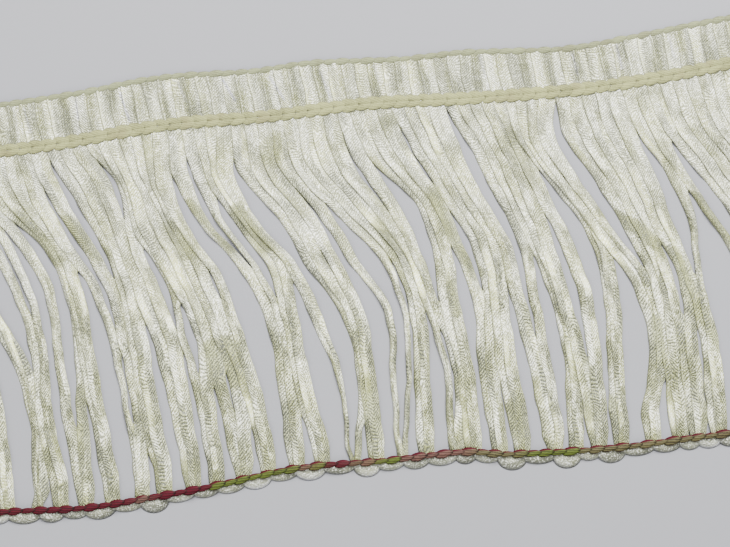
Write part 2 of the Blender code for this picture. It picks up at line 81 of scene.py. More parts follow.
# A row for each run, left to right, two to a foot: six middles, then three seen widths
RUN_TABLE = (
    (-109.6, -105.0, -100.0, -96.6, -95.0, -94.8, 3.4, 3.2, 3.0),
    (-106.4, -102.0, -97.2, -95.2, -93.7, -93.6, 3.4, 3.0, 2.8),
    (-103.0, -100.0, -95.8, -88.8, -85.9, -86.8, 3.4, 2.2, 1.4),
    (-99.8, -97.4, -93.2, -88.0, -85.2, -86.2, 3.4, 1.8, 1.2),
    (-96.0, -90.2, -85.6, -83.3, -83.2, -82.0, 3.0, 2.2, 2.6),
    (-92.9, -86.8, -82.8, -81.2, -81.8, -80.0, 2.6, 2.0, 2.6),
    (-90.2, -82.7, -78.0, -77.5, -77.0, -75.8, 3.2, 2.4, 3.0),
    (-87.6, -77.6, -73.6, -72.8, -73.4, -73.9, 2.6, 1.4, 3.0),
    (-84.6, -76.2, -72.0, -71.0, -70.0, -68.9, 3.2, 3.4, 3.2),
    (-81.2, -74.6, -71.0, -70.0, -69.0, -67.6, 3.0, 2.6, 2.8),
    (-78.0, -73.0, -66.8, -63.7, -62.4, -61.6, 3.2, 2.2, 1.4),
    (-73.8, -68.2, -62.9, -60.8, -59.6, -60.2, 3.6, 3.2, 3.0),
    (-68.2, -63.4, -59.8, -58.4, -57.8, -56.0, 2.6, 3.0, 3.0),
    (-64.8, -61.0, -58.0, -56.8, -56.0, -54.6, 3.4, 3.4, 3.4),
    (-61.4, -58.7, -56.0, -52.6, -50.2, -48.8, 3.2, 3.4, 3.4),
    (-56.2, -56.0, -52.9, -49.3, -48.0, -47.3, 2.8, 3.4, 3.2),
    (-55.2, -53.8, -48.4, -46.5, -44.0, -42.8, 2.8, 1.8, 2.8),
    (-54.0, -52.0, -46.8, -41.9, -42.0, -41.4, 3.6, 3.6, 3.0),
    (-51.6, -48.8, -44.2, -40.2, -38.2, -36.6, 3.2, 3.4, 3.2),
    (-49.6, -45.4, -41.6, -37.4, -34.4, -34.2, 3.4, 3.4, 3.4),
    (-48.0, -44.4, -39.6, -35.8, -31.8, -29.9, 3.0, 2.8, 3.0),
    (-46.6, -43.2, -36.6, -33.2, -30.2, -28.6, 2.6, 2.6, 3.2),
    (-42.2, -37.4, -28.9, -23.8, -23.0, -22.9, 2.6, 3.4, 3.0),
    (-37.4, -33.6, -26.4, -21.9, -21.2, -21.2, 2.0, 1.8, 3.0),
    (-34.4, -29.2, -22.4, -20.0, -18.8, -16.4, 2.8, 3.0, 3.0),
    (-32.6, -27.4, -20.2, -18.8, -17.6, -15.0, 3.0, 2.6, 3.2),
    (-31.2, -26.2, -17.9, -13.0, -9.0, -9.0, 2.6, 3.2, 1.2),
    (-26.2, -18.4, -13.2, -5.6, -3.9, -6.4, 2.8, 2.6, 1.8),
    (-22.6, -15.6, -10.8, -4.2, -2.8, -3.0, 3.2, 3.0, 2.8),
    (-19.4, -12.4, -7.4, -2.5, -1.7, -1.6, 3.4, 3.0, 3.0),
    (-15.8, -8.4, -2.7, 4.6, 4.1, 3.4, 3.4, 2.2, 1.5),
    (-12.4, -4.4, 4.6, 8.6, 7.9, 5.2, 3.4, 1.6, 1.4),
    (-9.0, -1.2, 7.2, 10.6, 10.4, 9.2, 3.4, 1.6, 2.6),
    (-5.6, 1.8, 9.2, 12.0, 11.9, 11.2, 3.4, 1.6, 2.6),
    (-2.2, 4.8, 11.2, 14.4, 17.4, 16.4, 3.4, 1.8, 1.8),
    (2.4, 8.6, 13.0, 16.4, 19.8, 18.6, 3.4, 2.0, 2.0),
    (6.4, 15.8, 18.6, 18.9, 21.3, 21.0, 3.4, 2.8, 2.8),
    (9.6, 17.2, 20.4, 21.2, 22.6, 22.7, 3.2, 2.6, 2.8),
    (12.9, 19.6, 23.6, 27.1, 26.6, 27.4, 3.2, 2.8, 3.0),
    (17.6, 22.9, 28.2, 29.8, 28.4, 29.0, 3.4, 2.8, 2.8),
    (20.2, 25.2, 30.2, 31.2, 31.2, 32.8, 3.2, 2.4, 3.0),
    (22.6, 27.4, 32.4, 33.3, 33.3, 34.6, 3.2, 2.2, 3.2),
    (24.9, 29.4, 34.8, 36.8, 39.2, 40.6, 3.2, 3.4, 3.4),
    (31.2, 35.3, 39.6, 40.8, 42.0, 43.2, 3.2, 2.6, 2.4),
    (34.0, 37.8, 41.6, 45.4, 47.4, 46.4, 3.0, 1.8, 2.0),
    (36.3, 39.9, 43.3, 46.6, 48.4, 47.9, 3.2, 2.4, 2.2),
    (38.6, 42.2, 45.2, 47.7, 50.4, 51.6, 3.4, 3.4, 3.2),
    (41.4, 45.1, 49.6, 53.2, 54.0, 53.8, 3.4, 3.4, 3.4),
    (43.4, 50.0, 56.4, 58.6, 58.4, 57.4, 3.0, 1.4, 2.6),
    (44.8, 51.2, 57.6, 59.4, 59.6, 59.2, 3.0, 1.4, 2.6),
    (46.4, 52.2, 58.6, 66.6, 69.2, 65.4, 3.4, 3.0, 3.0),
    (48.6, 54.4, 61.0, 69.0, 70.8, 67.0, 3.0, 2.0, 2.6),
    (54.8, 61.0, 66.0, 70.8, 72.2, 72.0, 3.6, 2.2, 3.0),
    (58.4, 64.0, 68.6, 72.8, 73.6, 73.6, 3.4, 2.0, 3.2),
    (61.8, 67.0, 71.0, 74.0, 76.4, 76.4, 3.6, 2.0, 3.2),
    (65.2, 70.0, 73.2, 78.2, 78.3, 78.2, 3.6, 2.8, 3.2),
    (68.2, 72.4, 75.6, 79.6, 82.0, 81.6, 3.4, 2.6, 3.2),
    (72.4, 78.3, 81.7, 81.9, 83.4, 83.4, 3.2, 1.6, 3.2),
    (75.6, 80.4, 86.8, 93.0, 91.2, 88.0, 2.6, 2.2, 3.0),
    (78.8, 85.9, 93.0, 96.6, 93.6, 89.8, 3.6, 3.0, 3.2),
)

# Runs that follow the common sway past the table's ends, and how deep each turn is below the feet
PLAIN_LEFT = 2
PLAIN_RIGHT = 8
PLAIN_PITCH = 3.2
PLAIN_SWAY_LEFT = (0, 4.6, 9.6, 13.0, 14.6, 14.5)
PLAIN_SWAY_RIGHT = (0, 6.5, 13.0, 16.0, 14.0, 12.0)
PLAIN_CLOSING = (0, 0, 0, 0.3, 0.6, 0.8)
PLAIN_WIDTHS = (3.4, 3.0, 3.0)
TURN_DEPTHS = (
    3.4, 3.4, 2.5, 3.6, 2.6, 4.4, 2.5, 2.5, 2.8, 3.3, 2.6, 3.8, 2.5, 4.0, 2.4, 2.9, 2.7, 3.1, 2.5,
    4.6, 2.9, 4.7, 2.5, 4.0, 2.5, 2.7, 3.1, 3.3, 3.6,
)
PLAIN_TURN_DEPTH = 3.0
TURN_LEAST = 1.3
TURN_SHARE = 0.68

# Stretches where the ribbon is folded or turned from the light, painted with olive shade: X and Y of both
# ends, half the width and how strong the painted shade is
FOLD_SHADES = (
    (-72, 21, -64, 12, 1.7, 0.8), (-83, 23, -75, 12, 1.6, 0.7), (-46, 16, -42.8, 10, 2.0, 0.7),
    (-41, 22, -32, 10, 1.2, 0.9), (-29.5, 19, -24, 9, 1.5, 0.8), (-40, -14, -38.3, -23, 2.0, 0.9),
    (-36, -14, -34.5, -22, 2.0, 0.9), (-73.5, -22, -73.5, -34, 1.7, 0.6), (-2, -28, -2, -40, 2.0, 0.6),
    (19, 18, 22, 8, 1.5, 1.0), (22, 8, 27.5, -3, 1.4, 1.0), (20.6, -5, 21.3, -12, 1.0, 0.8),
    (34, -36, 34, -44, 2.0, 0.7), (51.5, -36, 51.5, -41, 1.5, 0.6), (57, -38, 57, -43, 1.2, 0.7),
    (60, 9, 69, 3, 1.3, 1.0), (69, 3, 77, -6, 1.3, 1.0), (77, -6, 80.5, -18, 1.3, 1.0),
    (80.5, -18, 85.5, -28, 1.3, 0.8), (83, 9, 91, -2, 1.6, 0.8), (76, 24, 81.5, 0, 1.3, 0.5),
    (70, -20, 70, -30, 1.4, 0.8), (-4.7, -40, -8.5, -46, 1.2, 0.7), (20.3, -39, 18, -44, 1.2, 0.6),
    (-92, -12, -88, -26, 1.5, 0.6), (5, 12, 8, 4, 1.6, 0.6), (-20, 31, -19, 34, 2.4, 0.7),
    (9.5, 37, 10.5, 37, 1.8, 0.6), (39, 30, 44, 18, 1.8, 0.5), (-47.5, -42, -47.5, -46, 1.4, 0.7),
)

# Painted shadow in the slits between pleats of the band: X and Y of both ends, half the width and how dark
# the painted shadow is
SLIT_SHADOWS = (
    (-66, 51, -66, 46, 0.25, 0.8), (-55, 51, -53.5, 44, 0.3, 0.9), (-29.5, 51.5, -27, 46, 0.3, 0.9),
    (-18, 51, -15, 45, 0.3, 0.8), (-5.5, 51, -3.5, 44, 0.25, 0.8), (57, 48, 57.6, 43, 0.3, 0.8),
    (68, 49, 68.8, 43, 0.3, 0.8), (-79, 50, -78, 44, 0.25, 0.6), (-40.5, 52, -39, 47, 0.25, 0.6),
    (34, 50, 35, 45, 0.25, 0.6), (81, 50, 82, 44, 0.25, 0.6), (8, 51, 9, 46, 0.25, 0.5),
)

# How the ribbon lies: sizes in millimetres, and shares of them
LAY_SEED = 11
BAND_TOP = 53.0
BAND_FOOT = ROOT_HEIGHT - 6.0
PLEAT_LEAN = -1.2
PLEAT_WIDTH = 4.3
TOP_WIDTH = 4.0
EVEN_SHARE = 0.75
ROW_STEP = 0.4
LOWEST_ROW = -50.0
ACROSS = np.linspace(-1.0, 1.0, 11)
HALF_WIDTH = 2.0
NARROWEST = 1.2
TOUCHING_FROM, TOUCHING_TO = -0.3, 0.5
NEIGHBOURS = 4
NOTHING_UNDER = -99.0
CLEARANCE = 0.08
BAND_CLEARANCE = 0.05
OPEN_SEAM = 0.40
OPEN_SHARE = 0.45
OPEN_REACH = 0.4
BAND_CLOSED = 0.8
SEAM_LENGTH = 22.0
BAND_LIFT = 0.55
BAND_CALM = 0.7
LIFT_LEAST = 0.10
LIFT_WAVE = 0.45
WAVE_LENGTH = 14.0
SWAY_WAVE = 0.22
RIPPLE_RISE = 0.17
RIPPLE_SLANT = 1.6
EDGE_ROLL = 0.38
RIPPLE_LENGTH = 5.5
DRAPE_FALL = 0.6
EASE_ROWS = 2
FLAT_CURL = 1.014
NARROW_CURL = 0.35
CURLED_BELOW, FLAT_ABOVE = 1.5, 2.7
ARC_STEPS = 8
FOOT_HALF = 1.35
FOOT_APART = 0.60
FOOT_RISE = 5.0
TURN_ROWS = 18
TURN_INSET = 0.25
TURN_FULLNESS = 0.65
TURN_BULGE = 0.15
TURN_TILT = 0.2
TURN_CROWN = 0.2
TURN_CURL = 1.1
CUT_END = 2.2
BAND_THINNER = 0.5
RIM_THINNER = 0.85
PIECE_COUNT = 5

# How marks fade from a line, in shares of their half width, and how the turns and the feet are shaded,
# with heights in millimetres from the holding stitch
MARK_FROM, MARK_TO = 0.35, 1.8
RIM_FROM, RIM_TO = 0.65, 1.0
LOOP_GREY = 0.60
LOOP_FROM, LOOP_TO = 0.2, 0.8
FOOT_DARK_FROM, FOOT_DARK_TO = 1.0, 4.6

# Knit and noise of the ribbon: millimetres along it, metres up the trim and waves a metre
FINE_ROW = 0.66
COARSE_ROW = 0.86
KNIT_COLUMN = 0.50
LOWER_FROM, LOWER_TO = -0.028, 0.016
BAND_FROM, BAND_TO = 0.038, 0.041
# Edge zone of the ribbon, where its knit fades and painted edge shade falls
SELVEDGE_FROM, SELVEDGE_TO = 1.70, 1.94
WANDER_SCALE = 420.0
GRAIN_SCALE = 2600.0
CLOUD_SCALE = 80.0
UNDULATION_SCALE = 190.0

# Yarn and thread: fuzz and mottling in waves a metre, and the twist's period
YARN_FUZZ = 3200.0
YARN_MOTTLE = 300.0
YARN_SPOTS = 210.0
YARN_TWIST = 0.36
THREAD_FUZZ = 2600.0
THREAD_TWIST = 0.48

# Where the holding thread changes colour along X, and how far a stitch's colour may stray from there
THREAD_START = -125.0
THREAD_SPAN = 250.0
THREAD_STRAY = 4.0
THREAD_TABLE = (
    (-125, "red"), (-66, "red"), (-63, "taupe"), (-59, "taupe"), (-57, "red"), (-46, "red"),
    (-43, "green"), (-23, "green"), (-20, "taupe"), (-17, "green"), (-13, "red"), (-7, "taupe"),
    (-2, "green"), (3, "green"), (6, "taupe"), (19, "taupe"), (22, "olive"), (33, "olive"),
    (36, "green"), (46, "green"), (50, "olive"), (84, "olive"), (96, "red"), (112, "green"),
)

# The chains: where each starts and ends along X, how far apart the points of its line are, and how far
# the heading's two rows lie and lean from its line
HEADING_SPAN = (-117.5, 104.5)
EDGE_SPAN = (-118.5, 103.5)
FOOT_SPAN = (-105.0, 112.0)
LINE_STEP = 0.5
HEADING_SHIFT = 0.68
HEADING_LEAN = 0.7

# Camera: the photo's width and scale in pixels, how far the trim is turned in it, and the lens
PHOTO_WIDTH = 730
PHOTO_SCALE = 4.045
PHOTO_ROLL = radians(6.5)
CAMERA_HEIGHT = 0.55
SENSOR_WIDTH = 36.0

# Stage: half the floor's side in metres, its colour and the sky's
FLOOR_HALF = 0.8
FLOOR_COLOUR = (0.198, 0.199, 0.211)
SKY_COLOUR = (0.96, 0.97, 1.0)
SKY_STRENGTH = 0.93

# A row for each light: its name, its place and side in metres, and its power in watts
LIGHTS = (
    ("key", (0.22, 0.50, 0.60), 0.35, 28.0),
    ("fill", (-0.45, -0.30, 0.60), 0.80, 5.0),
)


class Run(NamedTuple):
    """One pass of the ribbon, from the top edge to the holding stitch."""

    middles: tuple
    widths: tuple


def smooth_line(points, at):
    """Read a smooth curve through (position, value) points, in rising order, at an array of positions."""
    xs = np.array([point[0] for point in points], float)
    ys = np.array([point[1] for point in points], float)
    slopes = np.gradient(ys, xs)
    slopes[1:-1] = (ys[2:] - ys[:-2]) / (xs[2:] - xs[:-2])
    at = np.clip(at, xs[0], xs[-1])
    index = np.clip(np.searchsorted(xs, at, side="right") - 1, 0, len(xs) - 2)
    span = xs[index + 1] - xs[index]
    t = (at - xs[index]) / span
    return (
        ys[index] * (1 + 2 * t) * (1 - t) ** 2
        + slopes[index] * span * t * (1 - t) ** 2
        + ys[index + 1] * t ** 2 * (3 - 2 * t)
        - slopes[index + 1] * span * t ** 2 * (1 - t)
    )


def plain_row(start, sway, is_left):
    """Return a table row for a run that follows the common sway from its middle at the top."""
    side = 1 if is_left else -1
    middles = tuple(start + shift + side * close for shift, close in zip(sway, PLAIN_CLOSING))
    return middles + PLAIN_WIDTHS


def all_runs():
    """Return every run from left to right, the plain ones past the table's ends included."""
    rows = []
    first, last = RUN_TABLE[0], RUN_TABLE[-1]
    for step in range(PLAIN_LEFT, 0, -1):
        rows.append(plain_row(first[0] - step * PLAIN_PITCH, PLAIN_SWAY_LEFT, step % 2 == 0))
    rows.extend(RUN_TABLE)
    for step in range(1, PLAIN_RIGHT + 1):
        rows.append(plain_row(last[0] + step * PLAIN_PITCH, PLAIN_SWAY_RIGHT, step % 2 == 1))
    count = len(MIDDLE_HEIGHTS)
    return [Run(row[:count], row[count:]) for row in rows]


def wave(rng, along, length):
    """Return a gentle random wave along a run, between about -1 and 1."""
    total = np.zeros_like(along)
    for share, weight in ((1.0, 0.55), (0.62, 0.3), (0.37, 0.15)):
        total += weight * np.sin(2 * pi * along / (length * share) + rng.uniform(0, 2 * pi))
    return total


def eased(values, reach):
    """Smooth an array along its length without falling below it."""
    count = len(values)
    padded = np.pad(values, reach, mode="edge")
    highest = np.max([padded[step:step + count] for step in range(2 * reach + 1)], axis=0)
    weights = np.hanning(2 * reach + 3)[1:-1]
    return np.convolve(np.pad(highest, reach, mode="edge"), weights / weights.sum(), mode="valid")


def eased_grid(values):
    """Soften a grid of marks by one step along and across."""
    for axis in (0, 1):
        before = np.roll(values, 1, axis)
        after = np.roll(values, -1, axis)
        values = (before + 2 * values + after) / 4
    return values


def blend_step(low, high, values):
    """Return 0 below low, 1 above high and a smooth step between them."""
    t = np.clip((values - low) / (high - low), 0, 1)
    return t * t * (3 - 2 * t)


def arc_section(chord, curl):
    """Return offsets across and up for sections whose arc is curl times as long as their chord."""
    angle = np.sqrt(6 * (1 - 1 / curl))
    for _ in range(ARC_STEPS):
        error = np.sin(angle) * curl - angle
        angle = angle - error / (np.cos(angle) * curl - 1)
    radius = chord / (2 * np.sin(angle))
    turned = ACROSS[None, :] * angle[:, None]
    return radius[:, None] * np.sin(turned), radius[:, None] * (np.cos(turned) - np.cos(angle)[:, None])


def run_shape(runs, number, heights):
    """Return a run's middle and seen width at each height, its band part included."""
    run = runs[number]
    first, last = runs[0].middles[0], runs[-1].middles[0]
    even = first + (last - first) * number / (len(runs) - 1)
    root = even * EVEN_SHARE + run.middles[0] * (1 - EVEN_SHARE) + ROOT_SHIFT
    middle_points = [(-BAND_TOP, root + PLEAT_LEAN), (-ROOT_HEIGHT, root)]
    middle_points += [(-h, x) for h, x in zip(MIDDLE_HEIGHTS, run.middles)]
    top_height = MIDDLE_HEIGHTS[0]
    width_points = [(-BAND_TOP, PLEAT_WIDTH), (-ROOT_HEIGHT, PLEAT_WIDTH), (-top_height, TOP_WIDTH)]
    width_points += [(-h, w) for h, w in zip(WIDTH_HEIGHTS, run.widths)]
    return smooth_line(middle_points, -heights), smooth_line(width_points, -heights)


def run_edges(runs, heights, full_width):
    """Return each run's left and right edges, the right one on under a neighbour that covers it."""
    shapes = [run_shape(runs, number, heights) for number in range(len(runs))]
    lefts = [middle - width / 2 for middle, width in shapes]
    rights = [middle + width / 2 for middle, width in shapes]
    for number in range(len(runs) - 1):
        gap = lefts[number + 1] - rights[number]
        hidden = np.clip(full_width - (rights[number] - lefts[number]), 0, None)
        rights[number] = rights[number] + hidden * (1 - blend_step(TOUCHING_FROM, TOUCHING_TO, gap))
    return lefts, rights


def support_under(laid, x):
    """Return how high the runs already laid reach at each point, and where they really lie under it."""
    top = np.full_like(x, NOTHING_UNDER)
    covered = np.zeros_like(x, bool)
    for other in laid:
        for row in range(len(x)):
            edge_left, edge_right = other[row, 0, 0], other[row, -1, 0]
            reach = np.interp(x[row], other[row, :, 0], other[row, :, 2])
            outside = np.maximum(np.maximum(edge_left - x[row], x[row] - edge_right), 0)
            top[row] = np.maximum(top[row], reach - DRAPE_FALL * outside)
            covered[row] |= outside == 0
    return top, covered


def draped(need, base):
    """Return heights that keep above what is needed and are eased along and across."""
    surface = np.maximum(need, base)
    surface = np.array([eased(column, EASE_ROWS) for column in surface.T]).T
    wide = np.pad(surface, ((0, 0), (1, 1)), mode="edge")
    across = (wide[:, :-2] + 2 * wide[:, 1:-1] + wide[:, 2:]) / 4
    return np.maximum(across, need)


def lay_runs(runs, heights, full_width):
    """Lay each run over its left neighbours; return the points and how far each is doubled."""
    rng = np.random.default_rng(LAY_SEED)
    lefts, rights = run_edges(runs, heights, full_width)
    along = -heights
    slanted = along[:, None] + RIPPLE_SLANT * ACROSS
    in_band = blend_step(BAND_FOOT, ROOT_HEIGHT, heights)[:, None]
    clearance = CLEARANCE + (BAND_CLEARANCE - CLEARANCE) * in_band
    outer = np.clip(-ACROSS - 0.5, 0, None) * 2
    laid, doubled = [], []
    for left, right in zip(lefts, rights):
        sway = SWAY_WAVE * wave(rng, along, WAVE_LENGTH)
        chord = np.clip(right - left, NARROWEST, None)
        curl = FLAT_CURL + NARROW_CURL * (1 - blend_step(CURLED_BELOW, FLAT_ABOVE, chord))
        across, crown = arc_section(chord, curl)
        x = ((left + right) / 2 + sway)[:, None] + across
        lift = LIFT_WAVE * (1 + wave(rng, slanted, WAVE_LENGTH)) / 2
        ripple = RIPPLE_RISE * (1 + wave(rng, slanted, RIPPLE_LENGTH))
        base = LIFT_LEAST + (lift + ripple) * (1 - in_band * BAND_CALM) + BAND_LIFT * in_band
        under, covered = support_under(laid[-NEIGHBOURS:], x)
        opened = OPEN_SEAM * np.clip(OPEN_SHARE + wave(rng, along, SEAM_LENGTH), 0, 1)[:, None]
        spare = clearance + opened * (1 - in_band * BAND_CLOSED) * np.clip(OPEN_REACH - ACROSS, 0, 1)
        z = draped(under + spare - crown, base) + crown
        free = eased_grid(1.0 - covered[:, :1])
        roll = free * np.minimum(EDGE_ROLL, z[:, :1] - LIFT_LEAST / 2) * outer ** 2
        y = np.repeat(heights[:, None], len(ACROSS), axis=1)
        laid.append(np.stack((x, y, z - roll), axis=2))
        doubled.append(eased_grid(eased_grid(covered.astype(float))))
    return laid, doubled


def turn_rows(start, end, depth):
    """Return the rows of the half-moon turn between two feet, given their last rows."""
    middle_a, middle_b = start.mean(axis=0), end.mean(axis=0)
    half_a = (start[-1, 0] - start[0, 0]) / 2
    half_b = (end[-1, 0] - end[0, 0]) / 2
    rows = []
    for step in range(1, TURN_ROWS + 1):
        t = step / (TURN_ROWS + 1)
        along = (1 - cos(pi * t)) / 2
        swell = sin(pi * t) ** TURN_FULLNESS
        half = (half_a * (1 - along) + half_b * along) * (1 - swell) + (depth + TURN_INSET) / 2 * swell
        centre = middle_a * (1 - along) + middle_b * along
        centre = centre + np.array([0, -(depth - TURN_INSET) / 2 * swell, TURN_BULGE * swell])
        tilt_a = (start[-1, 2] - start[0, 2]) / 2
        tilt_b = (end[0, 2] - end[-1, 2]) / 2
        tilt = (tilt_a * (1 - along) + tilt_b * along) * (1 - swell) + TURN_TILT * swell
        row = np.empty((len(ACROSS), 3))
        row[:, 0] = centre[0] + half * cos(pi * t) * ACROSS
        row[:, 1] = centre[1] + half * sin(pi * t) * ACROSS
        curl_down = TURN_CURL * swell * np.clip(-ACROSS, 0, 1) ** 3
        surface = centre[2] + tilt * ACROSS + TURN_CROWN * swell * (1 - ACROSS ** 2) - curl_down
        row[:, 2] = np.maximum(surface, LIFT_LEAST)
        rows.append(row)
    return np.array(rows)


def foot_rows(points, heights, marks, foot_middle, side):
    """Return a run's rows down to the holding stitch, gathered there beside the foot's other run."""
    middle = points[:, len(ACROSS) // 2, 0]
    top = smooth_line(EDGE_LINE, middle)
    foot = smooth_line(HOLDING_LINE, middle)
    kept = (heights <= top) & (heights >= foot)
    rows, marks = points[kept].copy(), marks[kept]
    centre = rows.mean(axis=1, keepdims=True)[:, :, 0]
    half = (rows[:, -1, 0] - rows[:, 0, 0]) / 2
    pinch = 1 - blend_step(0.0, FOOT_RISE, rows[:, 0, 1] - foot[kept])
    scale = 1 - pinch * np.clip(1 - FOOT_HALF / half, 0, 1)
    gathered = centre + ((foot_middle + side * FOOT_APART) - centre) * pinch[:, None]
    rows[:, :, 0] = gathered + (rows[:, :, 0] - centre) * scale[:, None]
    return rows, marks


def ribbon_strips(full_width):
    """Return each joined length of ribbon: its rows of points and how far each point is doubled."""
    runs = all_runs()
    heights = np.arange(BAND_TOP + 1.5, LOWEST_ROW, -ROW_STEP)
    laid, doubled = lay_runs(runs, heights, full_width)
    legs = []
    for number, points in enumerate(laid):
        first = number - number % 2
        foot_middle = (runs[first].middles[-1] + runs[first + 1].middles[-1]) / 2
        side = 1 if number % 2 else -1
        legs.append(foot_rows(points, heights, doubled[number], foot_middle, side))
    depths = [PLAIN_TURN_DEPTH] + list(TURN_DEPTHS) + [PLAIN_TURN_DEPTH] * (PLAIN_RIGHT // 2)
    strips = [cut_leg(*legs[0])]
    for turn, number in enumerate(range(1, len(legs) - 1, 2)):
        down, down_marks = legs[number]
        up, up_marks = legs[number + 1]
        around = turn_rows(down[-1], up[-1], TURN_LEAST + TURN_SHARE * depths[turn])
        around_marks = np.zeros(around.shape[:2])
        points = np.concatenate((down, around, up[::-1, ::-1]))
        strips.append((points, np.concatenate((down_marks, around_marks, up_marks[::-1, ::-1]))))
    strips.append(cut_leg(*legs[-1]))
    return strips


def cut_leg(rows, marks):
    """Return a leg that runs a little past the holding stitch and is cut straight there."""
    extra = []
    for step in range(1, round(CUT_END / ROW_STEP) + 1):
        row = rows[-1].copy()
        row[:, 1] -= step * ROW_STEP
        extra.append(row)
    more = np.repeat(marks[-1:], len(extra), axis=0)
    return np.concatenate((rows, extra)), np.concatenate((marks, more))


def grid_normals(points):
    """Return the unit normal at each point of a grid of rows."""
    along = np.gradient(points, axis=0)
    across = np.gradient(points, axis=1)
    normal = np.cross(across, along)
    length = np.linalg.norm(normal, axis=2, keepdims=True)
    return -normal / np.maximum(length, 1e-9)


def grid_faces(rows, columns, first):
    """Return the quads of a grid whose vertices start at number first."""
    row, column = np.meshgrid(np.arange(rows - 1), np.arange(columns - 1), indexing="ij")
    corner = first + row * columns + column
    quads = np.stack((corner, corner + columns, corner + columns + 1, corner + 1), axis=2)
    return quads.reshape(-1, 4)


def shell_faces(rows, columns, first):
    """Return the quads of a closed shell made of a front grid, a back grid and the rim between them."""
    back = first + rows * columns
    front = grid_faces(rows, columns, first)
    behind = grid_faces(rows, columns, back)[:, ::-1]
    row = np.arange(rows) * columns
    column = np.arange(columns)
    loop = np.concatenate((
        column, row[1:] + columns - 1, (rows - 1) * columns + column[-2::-1], row[-2:0:-1],
    ))
    after = np.roll(loop, -1)
    rim = np.stack((first + loop, first + after, back + after, back + loop), axis=1)
    return np.concatenate((front, behind, rim))


def ribbon_mesh(name, strips, thickness):
    """Make one mesh from strips of ribbon, with its own UV map in millimetres across and along."""
    vertices, faces, smooth, uvs, marks = [], [], [], [], []
    first = 0
    travelled = 0.0
    for points, doubled in strips:
        rows, columns = points.shape[:2]
        in_band = blend_step(BAND_FOOT, ROOT_HEIGHT, points[:, :, 1:2])
        thinner = (1 - BAND_THINNER * in_band) * (1 - RIM_THINNER * ACROSS[None, :, None] ** 6)
        depth = thickness * thinner
        back = points - grid_normals(points) * depth
        vertices += [points.reshape(-1, 3), back.reshape(-1, 3)]
        faces.append(shell_faces(rows, columns, first))
        smooth.append(np.arange(len(faces[-1])) < 2 * (rows - 1) * (columns - 1))
        middle = points[:, columns // 2]
        steps = np.linalg.norm(np.diff(middle, axis=0), axis=1)
        along = travelled + np.concatenate(([0.0], np.cumsum(steps)))
        travelled = along[-1]
        uv = np.stack(np.meshgrid(along, ACROSS * HALF_WIDTH, indexing="ij")[::-1], axis=2).reshape(-1, 2)
        uvs += [uv, uv]
        marks += [doubled.ravel(), doubled.ravel()]
        first += 2 * rows * columns
    points = np.concatenate(vertices)
    # Painted olive shade in the folds and where the runs are gathered at the feet
    folded = np.maximum(line_marks(points, FOLD_SHADES), foot_shade(points))
    across = np.tile(ACROSS, len(points) // len(ACROSS))
    # Painted shadow in the band's slits, and grey loops with painted shade darkest at their lower rim
    creased = np.maximum(line_marks(points, SLIT_SHADOWS), loop_grey_and_rim_shade(points, across))
    points = (points - np.array([CENTRE_X, CENTRE_Y, 0.0])) * MM
    quads = np.concatenate(faces)
    mesh = bpy.data.meshes.new(name)
    mesh.from_pydata(points.tolist(), [], quads.tolist())
    mesh.uv_layers.new(name="ribbon_uv")
    corners = np.empty(len(mesh.loops), int)
    mesh.loops.foreach_get("vertex_index", corners)
    mesh.uv_layers["ribbon_uv"].data.foreach_set("uv", np.concatenate(uvs)[corners].ravel())
    labels = ("doubled", "folded", "creased")
    for label, values in zip(labels, (np.concatenate(marks), folded, creased)):
        attribute = mesh.attributes.new(label, "FLOAT", "POINT")
        attribute.data.foreach_set("value", values.astype(np.float32))
    mesh.polygons.foreach_set("use_smooth", np.concatenate(smooth))
    return mesh


def line_marks(points, lines):
    """Return how strongly each drawing point is marked by a table of short lines."""
    marks = np.zeros(len(points))
    for x0, y0, x1, y1, half, strength in lines:
        reach = np.array([x1 - x0, y1 - y0], float)
        offset = points[:, :2] - np.array([x0, y0])
        share = np.clip(offset @ reach / (reach @ reach), 0, 1)
        distance = np.linalg.norm(offset - share[:, None] * reach, axis=1)
        marks = np.maximum(marks, strength * (1 - blend_step(half * MARK_FROM, half * MARK_TO, distance)))
    return marks


def loop_grey_and_rim_shade(points, across):
    """Return how grey the loops below the holding stitch are at each point, with painted shade darkest at
    their lower rim.
    """
    below = smooth_line(HOLDING_LINE, points[:, 0]) - points[:, 1]
    grey = LOOP_GREY + (1 - LOOP_GREY) * blend_step(RIM_FROM, RIM_TO, -across)
    return grey * blend_step(LOOP_FROM, LOOP_TO, below)


def foot_shade(points):
    """Return how much each drawing point is shaded where the runs are gathered at the stitch."""
    distance = np.abs(points[:, 1] - smooth_line(HOLDING_LINE, points[:, 0]))
    uneven = 0.5 + 0.5 * np.sin(points[:, 0] * 0.9) * np.sin(points[:, 0] * 0.23 + 1.0)
    return (0.35 + 0.5 * uneven) * (1 - blend_step(FOOT_DARK_FROM, FOOT_DARK_TO, distance))


def new_piece(name, mesh, material, node):
    """Put a finished mesh in the scene as a piece of the trim."""
    mesh.materials.clear()
    mesh.materials.append(material)
    piece = bpy.data.objects.new(name, mesh)
    bpy.context.scene.collection.objects.link(piece)
    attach(piece, "root")
    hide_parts(node)
    return piece


